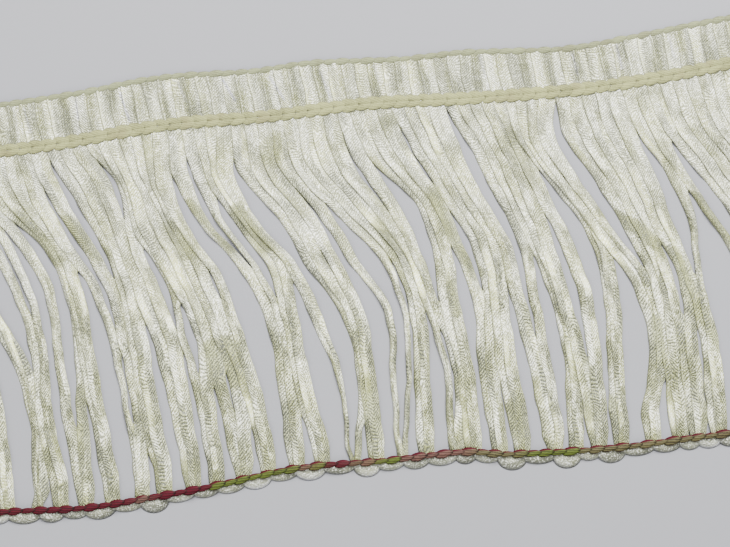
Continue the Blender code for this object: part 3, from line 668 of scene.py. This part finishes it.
class Value:
    """A shader socket on which Python's operators add Math nodes."""

    def __init__(self, tree, socket):
        self.tree = tree
        self.socket = socket

    def node(self, kind, settings, inputs, output=0):
        """Add a node: its settings are set first, then the values or links of its sockets."""
        made = self.tree.nodes.new(kind)
        for name, value in settings.items():
            if name == "stops":
                set_stops(made.color_ramp, value)
            else:
                setattr(made, name, value)
        for key, value in inputs.items():
            if isinstance(value, Value):
                self.tree.links.new(value.socket, made.inputs[key])
            else:
                made.inputs[key].default_value = value
        return Value(self.tree, made.outputs[output])

    def math(self, operation, *others):
        """Add a Math node that takes this value first."""
        return self.node("ShaderNodeMath", {"operation": operation}, dict(enumerate((self,) + others)))

    def __add__(self, other):
        return self.math("ADD", other)

    __radd__ = __add__

    def __sub__(self, other):
        return self.math("SUBTRACT", other)

    def __rsub__(self, other):
        return (self * -1.0) + other

    def __mul__(self, other):
        return self.math("MULTIPLY", other)

    __rmul__ = __mul__

    def __truediv__(self, other):
        return self.math("DIVIDE", other)

    def __abs__(self):
        return self.math("ABSOLUTE")

    def sine(self):
        """Return the sine of this value."""
        return self.math("SINE")

    def ripple(self, period):
        """Return a wave of this value with the given period, between 0 and 1."""
        return (self * (2 * pi / period)).sine() * 0.5 + 0.5

    def step(self, low, high):
        """Return 0 below low, 1 above high and a smooth step between them."""
        settings = {"interpolation_type": "SMOOTHSTEP"}
        return self.node("ShaderNodeMapRange", settings, {"Value": self, "From Min": low, "From Max": high})

    def between(self, first, second):
        """Mix two colours by this value."""
        inputs = {0: self, 6: first, 7: second}
        return self.node("ShaderNodeMix", {"data_type": "RGBA"}, inputs, output=2)

    def tinted(self, colour, tint):
        """Multiply a colour by a tint as far as this value says."""
        inputs = {0: self, 6: colour, 7: tint}
        settings = {"data_type": "RGBA", "blend_type": "MULTIPLY"}
        return self.node("ShaderNodeMix", settings, inputs, output=2)

    def parts(self):
        """Return the X, Y and Z of a vector value."""
        made = self.tree.nodes.new("ShaderNodeSeparateXYZ")
        self.tree.links.new(self.socket, made.inputs[0])
        return [Value(self.tree, socket) for socket in made.outputs]


def set_stops(ramp, stops):
    """Give a colour ramp its stops: a position and a colour for each."""
    while len(ramp.elements) > 1:
        ramp.elements.remove(ramp.elements[-1])
    ramp.elements[0].position, ramp.elements[0].color = stops[0][0], solid(stops[0][1])
    for position, colour in stops[1:]:
        ramp.elements.new(position).color = solid(colour)


def solid(colour):
    """Return a colour with full alpha."""
    return (colour[0], colour[1], colour[2], 1.0)


def new_material(name):
    """Return a material, its shader node and a value to start expressions from."""
    material = bpy.data.materials.new(name)
    material.use_nodes = True
    shader = material.node_tree.nodes["Principled BSDF"]
    return material, shader, Value(material.node_tree, None)


def noise(start, vector, scale, detail=2.0):
    """Return a noise value between 0 and 1 at the given scale."""
    return start.node("ShaderNodeTexNoise", {}, {"Vector": vector, "Scale": scale, "Detail": detail})


def pattern(start, x, y, z=0.0, detail=1.0):
    """Return noise that is read at a place made of three values."""
    place = start.node("ShaderNodeCombineXYZ", {}, {0: x, 1: y, 2: z})
    return noise(start, place, 1.0, detail)


def mark(start, name):
    """Return a number that is stored on the mesh under a name."""
    return start.node("ShaderNodeAttribute", {"attribute_name": name}, {}, output=2)


def object_place(start):
    """Return the place in the object's own metres."""
    return start.node("ShaderNodeTexCoord", {}, {}, output=3)


def feed(shader, name, value):
    """Link a value to one of a shader's sockets."""
    value.tree.links.new(value.socket, shader.inputs[name])


def bump(start, height, strength, distance):
    """Return a bumped normal."""
    inputs = {"Height": height, "Strength": strength, "Distance": distance}
    return start.node("ShaderNodeBump", {}, inputs)


def ribbon_material(colours):
    """Satin knit: slanting rows of stitches that meet in a herringbone along the ribbon's middle, with
    painted sheen, glints and shade.
    """
    material, shader, start = new_material("knitted_ribbon")
    uv = start.node("ShaderNodeUVMap", {"uv_map": "ribbon_uv"}, {})
    across, along, _ = uv.parts()
    place = object_place(start)
    # Marks on the mesh: where the ribbon lies doubled, painted fold shade, and painted shade in the slits
    # and loops
    doubled = mark(start, "doubled")
    folded = mark(start, "folded")
    creased = mark(start, "creased")
    x, height, _ = place.parts()
    lower = 1.0 - height.step(LOWER_FROM, LOWER_TO)
    in_band = height.step(BAND_FROM, BAND_TO)
    wander = noise(start, place, WANDER_SCALE) - 0.5
    half = across.step(-0.15, 0.15) * 40.0
    vee = pattern(start, 0.5, along * 0.07).step(0.40, 0.60)
    lean = abs(across) * vee + across * (1.0 - vee) * 0.8
    slant = along + lean * 1.15 + wander * 1.2
    fine_rows, coarse_rows = slant.ripple(FINE_ROW), slant.ripple(COARSE_ROW)
    rows = fine_rows + (coarse_rows - fine_rows) * lower
    columns = (across + wander * 0.4).ripple(KNIT_COLUMN)
    knit = rows * (columns * 0.55 + 0.45)
    streaks = pattern(start, slant * 3.8, across * 1.7)
    grains = noise(start, place, GRAIN_SCALE, 1.0)
    grit = grains.step(0.36, 0.64)
    filaments = (knit * 0.52 + streaks * 0.46 + grit * 0.24).step(0.32, 0.86)
    # Edge zone: the knit fades there, and painted shade darkens each ribbon's edge
    selvedge_and_edge_shade = abs(across).step(SELVEDGE_FROM, SELVEDGE_TO)
    smooth = pattern(start, along * 0.028, half * 0.2, 7.0).step(0.56, 0.66)
    plain = (selvedge_and_edge_shade * 0.8 + creased * 1.25 + smooth * 0.65).math("MINIMUM", 0.9)
    filaments = filaments + (0.58 - filaments) * plain
    # Painted sheen: broad lighter and darker patches along each run, standing in for the satin turned to or
    # from the light
    sheen_noise = pattern(start, half, along * 0.085, across * 0.12, 2.0)
    cloudy = noise(start, place, CLOUD_SCALE, 3.0)
    turned = (cloudy * 0.18 + sheen_noise * 0.82).step(0.41, 0.58)
    strand = pattern(start, along * 0.03, 3.0).step(0.40, 0.60)
    # Painted light and shade across the band's pleats
    pleats = pattern(start, x * 330.0 + height * 30.0, height * 60.0).step(0.36, 0.60)
    turned = turned + (pleats - turned) * in_band * 0.72
    # Painted shadow where the next pleat lies over, and a painted highlight on each pleat's lip
    behind = across.step(0.0, 0.9) * (1.0 - across.step(1.2, 1.8)) * in_band
    lip_highlight = (1.0 - across.step(-1.8, -1.1)) * in_band
    stripes = pattern(start, across * 1.3, along * 0.022, half).step(0.50, 0.66)
    yellowed = pattern(start, along * 0.05, half * 0.3).step(0.42, 0.60)
    warm = doubled * 0.25 + yellowed * 0.70 + folded * 0.25 + smooth * 0.3 + in_band * pleats * 0.15
    warm = warm * (1.0 - creased)
    thread = warm.between(solid(colours.ribbon_cool), solid(colours.ribbon_warm))
    shade = warm.between(solid(colours.ribbon_shade_cool), solid(colours.ribbon_shade_warm))
    # How bright the knit is under the painted sheen, with the pleats' painted lip highlight and each run's
    # own tone
    sharp = (filaments - 0.45) * (lower * 0.80 + 0.85) + 0.45
    bright = sharp * (turned * 0.40 + 0.60) + turned * (lower * 0.18 + 0.13) + lip_highlight * pleats * 0.45
    bright = bright + strand * (lower * 0.09 + 0.03)
    cloth = bright.between(shade, thread)
    # Painted glints: white specks on the brightest filaments, fewer where fold shade is painted
    glints = (grains * 0.60 + streaks * 0.35 + rows * 0.10 + lower * 0.012).step(0.55, 0.63)
    painted_glint = glints * (turned * 0.7 + 0.3) * (1.0 - folded * 0.8)
    cloth = painted_glint.between(cloth, solid(colours.ribbon_speck))
    # Painted shade, heavier towards the feet: folds, patches turned from the light, ribbon edges and the
    # band's seams, with some random darker stripes and runs
    painted_shade_and_tone = folded * 1.25 + (1.0 - turned) * (lower * 0.56 + in_band * 0.22 + 0.32) + lower * 0.03
    painted_shade_and_tone = painted_shade_and_tone + (1.0 - strand) * (lower * 0.28 + 0.14) + stripes * (lower * 0.15 + 0.18)
    painted_shade_and_tone = painted_shade_and_tone + selvedge_and_edge_shade * (in_band * 0.75 + 0.55) + behind * (1.0 - pleats * 0.6) * 0.9
    cloth = painted_shade_and_tone.tinted(cloth, solid(colours.ribbon_fold))
    # Painted grey shade in the band's slits and seams and on the loops, darkest at their lower rim
    grey_shade = creased + selvedge_and_edge_shade * in_band * 0.35
    cloth = grey_shade.tinted(cloth, solid(colours.ribbon_crease))
    # Painted glints on the loops, away from their shaded rim
    off_rim = creased.step(0.2, 0.6) * (1.0 - creased.step(0.62, 0.85))
    loop_glints = grains.step(0.54, 0.66) * off_rim * 0.42
    cloth = loop_glints.between(cloth, solid(colours.ribbon_speck))
    feed(shader, "Base Color", cloth)
    feed(shader, "Roughness", 0.46 - filaments * 0.16 + folded * 0.14)
    undulation = noise(start, place, UNDULATION_SCALE)
    feed(shader, "Normal", bump(start, (filaments + knit * 0.4) * 0.11 + undulation * 0.9, 1.0, 0.001))
    shader.inputs["Specular IOR Level"].default_value = 0.85
    shader.inputs["Subsurface Weight"].default_value = 0.25
    shader.inputs["Subsurface Radius"].default_value = (1.0, 1.0, 0.8)
    shader.inputs["Subsurface Scale"].default_value = 0.0004
    return material


def yarn_material(name, light, dark, spot):
    """Soft spun yarn: fine strands that wind along each stitch, with fuzz, a few darker places and painted
    shade in the hollows and at the tips.
    """
    material, shader, start = new_material(name)
    along = mark(start, "along")
    side = mark(start, "side")
    chance = mark(start, "chance")
    place = object_place(start)
    fuzz = noise(start, place, YARN_FUZZ)
    strands = (side * 0.55 + along * 0.22 + fuzz * 0.25 + chance).ripple(YARN_TWIST)
    mottle = noise(start, place, YARN_MOTTLE)
    # Painted shade in the hollows at the stitch's sides and at its tips
    hollow = abs(side).step(0.55, 1.0)
    tip_shade = abs(along).step(1.75, 2.25)
    tone = strands * 0.20 + fuzz * 0.55 + mottle * 0.5 - hollow * 0.30 - tip_shade * 0.60 + chance * 0.15
    wool = tone.step(0.15, 0.95).between(solid(dark), solid(light))
    spots = (noise(start, place, YARN_SPOTS, 1.0) + chance * 0.1).step(0.60, 0.74) * 0.4
    feed(shader, "Base Color", spots.between(wool, solid(spot)))
    feed(shader, "Roughness", 0.90 - strands * 0.08)
    feed(shader, "Normal", bump(start, strands * 0.25 + fuzz * 0.8, 0.7, 0.00016))
    shader.inputs["Sheen Weight"].default_value = 0.2
    return material


def thread_material(colours):
    """Variegated thread of the holding stitch: each stitch has its colour, with red edges and painted shade
    in its twists and at its tips.
    """
    material, shader, start = new_material("holding_thread")
    stitch_x = mark(start, "stitch_x")
    chance = mark(start, "chance")
    along = mark(start, "along")
    side = mark(start, "side")
    offset = -THREAD_START - THREAD_STRAY / 2
    share = (stitch_x + chance * THREAD_STRAY + along * 0.3 + offset) / THREAD_SPAN
    stops = [
        ((at - THREAD_START) / THREAD_SPAN, getattr(colours, f"thread_{tone}"))
        for at, tone in THREAD_TABLE
    ]
    hue = start.node("ShaderNodeValToRGB", {"stops": stops}, {"Fac": share})
    fuzz = noise(start, object_place(start), THREAD_FUZZ)
    strands = (side * 0.8 + along * 0.15 + fuzz * 0.35).ripple(THREAD_TWIST)
    upper = (side + (fuzz - 0.5) * 0.3).step(0.42, 0.62)
    under = (0.0 - side).step(0.72, 0.92) * 0.6
    # Painted shade at the tips and in the twists, with a random tone for each stitch
    tip_shade = abs(along).step(1.3, 2.2)
    twist_shade_and_tone = (1.0 - strands.step(0.15, 0.75)) * 0.65 + tip_shade * 0.65 + chance * 0.3 - 0.2
    shaded = twist_shade_and_tone.between(hue, solid(colours.thread_dark))
    edges = upper.math("MAXIMUM", under)
    feed(shader, "Base Color", edges.between(shaded, solid(colours.thread_edge)))
    feed(shader, "Normal", bump(start, strands * 0.6 + fuzz * 0.6, 0.7, 0.00014))
    shader.inputs["Roughness"].default_value = 0.62
    shader.inputs["Specular IOR Level"].default_value = 0.12
    return material


class TreeBuilder:
    """Adds nodes to a Geometry Nodes tree, one method for every kind."""

    def __init__(self, tree):
        self.tree = tree

    def add(self, kind, inputs, **settings):
        """Add a node with its settings, then the values or links of its sockets."""
        node = self.tree.nodes.new(kind)
        for name, value in settings.items():
            setattr(node, name, value)
        for key, value in inputs.items():
            if isinstance(value, bpy.types.NodeSocket):
                self.tree.links.new(value, node.inputs[key])
            else:
                node.inputs[key].default_value = value
        return node

    def maths(self, operation, *values):
        """Add a Math node and return its result."""
        return self.add("ShaderNodeMath", dict(enumerate(values)), operation=operation).outputs[0]

    def store(self, geometry, name, value):
        """Store a number on each point under a name."""
        inputs = {"Geometry": geometry, "Name": name, "Value": value}
        return self.add("GeometryNodeStoreNamedAttribute", inputs, data_type="FLOAT").outputs[0]


CHAIN_INPUTS = (
    ("Stitch pitch", 3.1 * MM),
    ("Stitch length", 4.2 * MM),
    ("Stitch width", 1.5 * MM),
    ("Stitch thickness", 0.9 * MM),
    ("Tip rise", 0.3 * MM),
    ("Lean", 0.3 * MM),
    ("Smaller by", 0.2 * MM),
    ("Base height", 1.5 * MM),
)


def chain_tree():
    """Build the tree that lays overlapping leaf-shaped stitches of yarn along a line of edges."""
    tree = bpy.data.node_groups.new("stitch_chain", "GeometryNodeTree")
    tree.interface.new_socket("Geometry", in_out="INPUT", socket_type="NodeSocketGeometry")
    for name, default in CHAIN_INPUTS:
        socket = tree.interface.new_socket(name, in_out="INPUT", socket_type="NodeSocketFloat")
        socket.default_value = default
    tree.interface.new_socket("Yarn", in_out="INPUT", socket_type="NodeSocketMaterial")
    tree.interface.new_socket("Geometry", in_out="OUTPUT", socket_type="NodeSocketGeometry")
    build = TreeBuilder(tree)
    given = build.add("NodeGroupInput", {}).outputs
    leaf = stitch_leaf(build, given)
    line = build.add("GeometryNodeMeshToCurve", {"Mesh": given["Geometry"]}).outputs[0]
    points = build.add(
        "GeometryNodeResampleCurve", {"Curve": line, "Length": given["Stitch pitch"]}, mode="LENGTH"
    ).outputs[0]
    where = build.add("ShaderNodeSeparateXYZ", {0: build.add("GeometryNodeInputPosition", {}).outputs[0]})
    stitch_x = build.maths("MULTIPLY_ADD", where.outputs[0], 1 / MM, CENTRE_X)
    points = build.store(points, "stitch_x", stitch_x)
    chance = build.add("FunctionNodeRandomValue", {"Seed": 5}, data_type="FLOAT").outputs[1]
    points = build.store(points, "chance", chance)
    lift = build.add("ShaderNodeCombineXYZ", {"Z": given["Base height"]}).outputs[0]
    points = build.add("GeometryNodeSetPosition", {"Geometry": points, "Offset": lift}).outputs[0]
    number = build.add("GeometryNodeInputIndex", {}).outputs[0]
    odd = build.maths("MODULO", number, 2.0)
    less = build.maths("MULTIPLY", odd, build.maths("MULTIPLY", given["Smaller by"], 1 / MM))
    uneven = build.add(
        "FunctionNodeRandomValue", {2: 0.92, 3: 1.06, "Seed": 9}, data_type="FLOAT"
    ).outputs[1]
    size = build.maths("SUBTRACT", uneven, less)
    sizes = build.add("ShaderNodeCombineXYZ", {"X": uneven, "Y": size, "Z": size}).outputs[0]
    tangent = build.add("GeometryNodeInputTangent", {}).outputs[0]
    turned = build.add("FunctionNodeAlignRotationToVector", {"Vector": tangent}, axis="X").outputs[0]
    placed = build.add("GeometryNodeInstanceOnPoints", {
        "Points": points, "Instance": leaf, "Rotation": turned, "Scale": sizes,
    }).outputs[0]
    solid_mesh = build.add("GeometryNodeRealizeInstances", {"Geometry": placed}).outputs[0]
    smooth = build.add("GeometryNodeSetShadeSmooth", {"Geometry": solid_mesh}).outputs[0]
    dressed = build.add(
        "GeometryNodeSetMaterial", {"Geometry": smooth, "Material": given["Yarn"]}
    ).outputs[0]
    build.add("NodeGroupOutput", {"Geometry": dressed})
    return tree


def stitch_leaf(build, given):
    """Add the nodes of one stitch: a plump pointed leaf along X whose front tip lies over the next."""
    line = build.add(
        "GeometryNodeCurvePrimitiveLine", {"Start": (-0.5, 0.0, 0.0), "End": (0.5, 0.0, 0.0)}
    ).outputs[0]
    line = build.add("GeometryNodeResampleCurve", {"Curve": line, "Count": 9}).outputs[0]
    factor = build.add("GeometryNodeSplineParameter", {}).outputs["Factor"]
    swell = build.maths("SINE", build.maths("MULTIPLY", build.maths("POWER", factor, 0.85), pi))
    plump = build.maths("POWER", build.maths("MAXIMUM", swell, 0.004), 0.62)
    profile = build.add("GeometryNodeCurvePrimitiveCircle", {"Resolution": 8, "Radius": 0.5}).outputs[0]
    inputs = {"Curve": line, "Profile Curve": profile, "Scale": plump, "Fill Caps": True}
    tube = build.add("GeometryNodeCurveToMesh", inputs).outputs[0]
    place = build.add("GeometryNodeInputPosition", {}).outputs[0]
    x, y, z = build.add("ShaderNodeSeparateXYZ", {0: place}).outputs
    normal = build.add("GeometryNodeInputNormal", {}).outputs[0]
    side = build.add("ShaderNodeSeparateXYZ", {0: normal}).outputs[1]
    tube = build.store(tube, "side", side)
    long = build.maths("MULTIPLY", x, given["Stitch length"])
    tube = build.store(tube, "along", build.maths("MULTIPLY", long, 1 / MM))
    tilt = build.maths("MULTIPLY", x, given["Lean"])
    wide = build.maths("MULTIPLY_ADD", y, given["Stitch width"], tilt)
    rise = build.maths("MULTIPLY", x, given["Tip rise"])
    high = build.maths("MULTIPLY_ADD", z, given["Stitch thickness"], rise)
    moved = build.add("ShaderNodeCombineXYZ", {"X": long, "Y": wide, "Z": high}).outputs[0]
    return build.add("GeometryNodeSetPosition", {"Geometry": tube, "Position": moved}).outputs[0]


def line_object(line):
    """Make an object whose edges follow a line of drawing points."""
    vertices = [((x - CENTRE_X) * MM, (y - CENTRE_Y) * MM, 0.0) for x, y in line]
    edges = [(step, step + 1) for step in range(len(line) - 1)]
    mesh = bpy.data.meshes.new("stitch_line")
    mesh.from_pydata(vertices, edges, [])
    holder = bpy.data.objects.new("stitch_line", mesh)
    bpy.context.scene.collection.objects.link(holder)
    return holder


def chain_mesh(name, rows, yarn):
    """Run the chain tree along each row's line with its sizes and return one finished mesh."""
    tree = bpy.data.node_groups.get("stitch_chain") or chain_tree()
    joined = bmesh.new()
    for line, values in rows:
        holder = line_object(line)
        modifier = holder.modifiers.new("Stitches", "NODES")
        modifier.node_group = tree
        for item in tree.interface.items_tree:
            if item.in_out == "INPUT" and item.name in values:
                modifier[item.identifier] = values[item.name] * MM
            if item.in_out == "INPUT" and item.name == "Yarn":
                modifier[item.identifier] = yarn
        graph = bpy.context.evaluated_depsgraph_get()
        row_mesh = bpy.data.meshes.new_from_object(holder.evaluated_get(graph))
        joined.from_mesh(row_mesh)
        bpy.data.objects.remove(holder, do_unlink=True)
        bpy.data.meshes.remove(row_mesh)
    mesh = bpy.data.meshes.new(name)
    joined.to_mesh(mesh)
    joined.free()
    return mesh


def stitch_line(line, span, shift=0.0):
    """Return evenly spaced points along one of the trim's lines, from one X to another."""
    x = np.arange(*span, LINE_STEP)
    y = smooth_line(line, x) + shift
    return list(zip(x.tolist(), y.tolist()))


def colour(name, description, *default):
    """Return a colour property."""
    return bpy.props.FloatVectorProperty(
        name=name, description=description, subtype="COLOR", default=default)


class TrimColours(bpy.types.PropertyGroup):
    """Colours of the ribbon, the yarns and the holding thread."""

    ribbon_cool: colour("Ribbon, cool", "Ribbon where it is whitest", 0.90, 0.92, 0.65)
    ribbon_warm: colour("Ribbon, warm", "Ribbon where it is yellower or doubled", 0.86, 0.88, 0.41)
    ribbon_shade_cool: colour("Shade, cool", "Gaps in the cool knit", 0.090, 0.095, 0.067)
    ribbon_shade_warm: colour("Shade, warm", "Gaps in the warm knit", 0.105, 0.112, 0.052)
    # Tint of the painted shade in folds, turned-away patches, ribbon edges and seams, and of random darker
    # stretches
    ribbon_fold: colour("Fold tint", "Tint where it is folded or turned away", 0.40, 0.41, 0.31)
    # Colour of the painted glints
    ribbon_speck: colour("Sparkle", "Brightest filaments", 1.0, 1.0, 0.88)
    # Tint of the painted grey shade in the pleats' slits and on the turns
    ribbon_crease: colour("Grey tint", "Tint of the pleats' slits and the turns", 0.240, 0.232, 0.43)
    heading_light: colour("Heading", "Heading yarn", 0.226, 0.232, 0.088)
    heading_dark: colour("Heading shade", "Heading yarn in its hollows", 0.062, 0.060, 0.018)
    heading_spot: colour("Heading spots", "Darker places of the heading yarn", 0.13, 0.11, 0.045)
    edge_light: colour("Edge", "Edge yarn", 0.176, 0.190, 0.092)
    edge_dark: colour("Edge shade", "Edge yarn in its hollows", 0.070, 0.070, 0.032)
    edge_spot: colour("Edge spots", "Brownish places of the edge yarn", 0.085, 0.080, 0.036)
    thread_red: colour("Thread red", "Holding thread, red", 0.046, 0.0010, 0.0055)
    thread_green: colour("Thread green", "Holding thread, green", 0.053, 0.071, 0.010)
    thread_taupe: colour("Thread pink", "Holding thread, dusty pink", 0.082, 0.040, 0.030)
    thread_olive: colour("Thread olive", "Holding thread, olive", 0.070, 0.062, 0.026)
    thread_edge: colour("Thread edge", "Red edges of each stitch", 0.036, 0.0008, 0.0048)
    thread_dark: colour("Thread shade", "Holding thread in its twists", 0.007, 0.004, 0.003)


class TrimSizes(bpy.types.PropertyGroup):
    """Sizes of the ribbon and the yarns."""

    ribbon_width: bpy.props.FloatProperty(
        name="Ribbon width", description="Width of the flat knitted ribbon", unit="LENGTH",
        default=4.0 * MM)
    ribbon_thickness: bpy.props.FloatProperty(
        name="Ribbon thickness", description="Thickness of the knitted ribbon", unit="LENGTH",
        default=0.08 * MM)


class TRIM_OT_lay_ribbon(bpy.types.Operator):
    """Lay the knitted ribbon back and forth"""

    bl_idname = "trim.lay_ribbon"
    bl_label = "Lay ribbon"

    def execute(self, context):
        sizes, colours = context.scene.trim_sizes, context.scene.trim_colours
        strips = ribbon_strips(sizes.ribbon_width / MM)
        material = ribbon_material(colours)
        share = -(-len(strips) // PIECE_COUNT)
        for number in range(PIECE_COUNT):
            group = strips[number * share:(number + 1) * share]
            name = f"ribbon_{number + 1}"
            mesh = ribbon_mesh(name, group, sizes.ribbon_thickness / MM)
            new_piece(name, mesh, material, "ribbon_fringe")
        return {"FINISHED"}


class TRIM_OT_sew_heading(bpy.types.Operator):
    """Sew the two rows of the heading"""

    bl_idname = "trim.sew_heading"
    bl_label = "Sew heading"

    def execute(self, context):
        colours = context.scene.trim_colours
        yarn = yarn_material(
            "heading_yarn", colours.heading_light, colours.heading_dark, colours.heading_spot
        )
        values = {
            "Stitch pitch": 3.1, "Stitch length": 4.6, "Stitch width": 2.0, "Stitch thickness": 0.62,
            "Tip rise": 0.20, "Smaller by": 0.05, "Base height": 1.15,
        }
        mesh = chain_mesh("heading_stitches", (
            (stitch_line(HEADING_LINE, HEADING_SPAN, -HEADING_SHIFT), dict(values, Lean=HEADING_LEAN)),
            (stitch_line(HEADING_LINE, HEADING_SPAN, HEADING_SHIFT), dict(values, Lean=-HEADING_LEAN)),
        ), yarn)
        new_piece("heading_stitches", mesh, yarn, "heading_chain")
        return {"FINISHED"}


class TRIM_OT_sew_edge(bpy.types.Operator):
    """Sew the thin chain along the top edge"""

    bl_idname = "trim.sew_edge"
    bl_label = "Sew edge"

    def execute(self, context):
        colours = context.scene.trim_colours
        yarn = yarn_material(
            "edge_yarn", colours.edge_light, colours.edge_dark, colours.edge_spot
        )
        values = {
            "Stitch pitch": 3.1, "Stitch length": 4.4, "Stitch width": 1.9, "Stitch thickness": 0.8,
            "Tip rise": 0.3, "Lean": 0.45, "Smaller by": 0.15, "Base height": 0.95,
        }
        line = stitch_line(EDGE_LINE, EDGE_SPAN)
        mesh = chain_mesh("edge_stitches", ((line, values),), yarn)
        new_piece("edge_stitches", mesh, yarn, "edge_chain")
        return {"FINISHED"}


class TRIM_OT_sew_foot(bpy.types.Operator):
    """Sew the removable chain across the feet"""

    bl_idname = "trim.sew_foot"
    bl_label = "Sew foot stitch"

    def execute(self, context):
        yarn = thread_material(context.scene.trim_colours)
        values = {
            "Stitch pitch": 3.1, "Stitch length": 4.8, "Stitch width": 2.2, "Stitch thickness": 0.9,
            "Tip rise": 0.6, "Lean": 0.5, "Smaller by": 0.28, "Base height": 1.70,
        }
        line = stitch_line(HOLDING_LINE, FOOT_SPAN)
        mesh = chain_mesh("foot_stitches", ((line, values),), yarn)
        new_piece("foot_stitches", mesh, yarn, "holding_chain")
        return {"FINISHED"}


class TRIM_OT_set_stage(bpy.types.Operator):
    """Set the floor, the lights and the camera"""

    bl_idname = "trim.set_stage"
    bl_label = "Set stage"

    def execute(self, context):
        scene = context.scene
        add_floor(scene)
        for light in LIGHTS:
            add_light(scene, *light)
        world = scene.world or bpy.data.worlds.new("studio")
        scene.world = world
        world.use_nodes = True
        sky = world.node_tree.nodes["Background"].inputs
        sky["Color"].default_value = solid(SKY_COLOUR)
        sky["Strength"].default_value = SKY_STRENGTH
        seen_width = PHOTO_WIDTH / PHOTO_SCALE * MM
        data = bpy.data.cameras.new("camera")
        data.sensor_width = SENSOR_WIDTH
        data.lens = SENSOR_WIDTH * CAMERA_HEIGHT / seen_width
        camera = bpy.data.objects.new("camera", data)
        camera.location = (-CENTRE_X * MM, -CENTRE_Y * MM, CAMERA_HEIGHT)
        camera.rotation_euler = (0.0, 0.0, -PHOTO_ROLL)
        scene.collection.objects.link(camera)
        scene.camera = camera
        return {"FINISHED"}


def add_floor(scene):
    """Add the plain pale floor."""
    mesh = bpy.data.meshes.new("floor")
    corners = [(x * FLOOR_HALF, y * FLOOR_HALF, 0) for x, y in ((-1, -1), (1, -1), (1, 1), (-1, 1))]
    mesh.from_pydata(corners, [], [(0, 1, 2, 3)])
    material, shader, _ = new_material("pale_floor")
    shader.inputs["Base Color"].default_value = solid(FLOOR_COLOUR)
    shader.inputs["Roughness"].default_value = 0.7
    mesh.materials.append(material)
    floor = bpy.data.objects.new("floor", mesh)
    scene.collection.objects.link(floor)


def add_light(scene, name, place, size, power):
    """Add a soft square light that points at the trim."""
    data = bpy.data.lights.new(name, "AREA")
    data.shape = "SQUARE"
    data.size = size
    data.energy = power
    light = bpy.data.objects.new(name, data)
    light.location = place
    aim = light.location.to_track_quat("Z", "Y")
    light.rotation_euler = aim.to_euler()
    scene.collection.objects.link(light)


class TRIM_PT_panel(bpy.types.Panel):
    """Buttons that build the trim piece by piece"""

    bl_idname = "TRIM_PT_panel"
    bl_label = "Chainette fringe trim"
    bl_space_type = "VIEW_3D"
    bl_region_type = "UI"
    bl_category = "Trim"

    def draw(self, context):
        for operator in OPERATORS:
            self.layout.operator(operator.bl_idname)
        for group in (context.scene.trim_sizes, context.scene.trim_colours):
            for name in group.__annotations__:
                self.layout.prop(group, name)


OPERATORS = (
    TRIM_OT_set_stage, TRIM_OT_lay_ribbon, TRIM_OT_sew_heading, TRIM_OT_sew_edge, TRIM_OT_sew_foot,
)
CLASSES = (TrimColours, TrimSizes) + OPERATORS + (TRIM_PT_panel,)


def register():
    """Register the classes and their settings."""
    for item in CLASSES:
        bpy.utils.register_class(item)
    bpy.types.Scene.trim_colours = bpy.props.PointerProperty(type=TrimColours)
    bpy.types.Scene.trim_sizes = bpy.props.PointerProperty(type=TrimSizes)


def unregister():
    """Remove the classes and their settings."""
    del bpy.types.Scene.trim_colours
    del bpy.types.Scene.trim_sizes
    for item in reversed(CLASSES):
        bpy.utils.unregister_class(item)


def main():
    """Build everything in order."""
    register()
    bpy.ops.trim.set_stage()
    bpy.ops.trim.lay_ribbon()
    bpy.ops.trim.sew_heading()
    bpy.ops.trim.sew_edge()
    bpy.ops.trim.sew_foot()


if __name__ == "__main__":
    main()
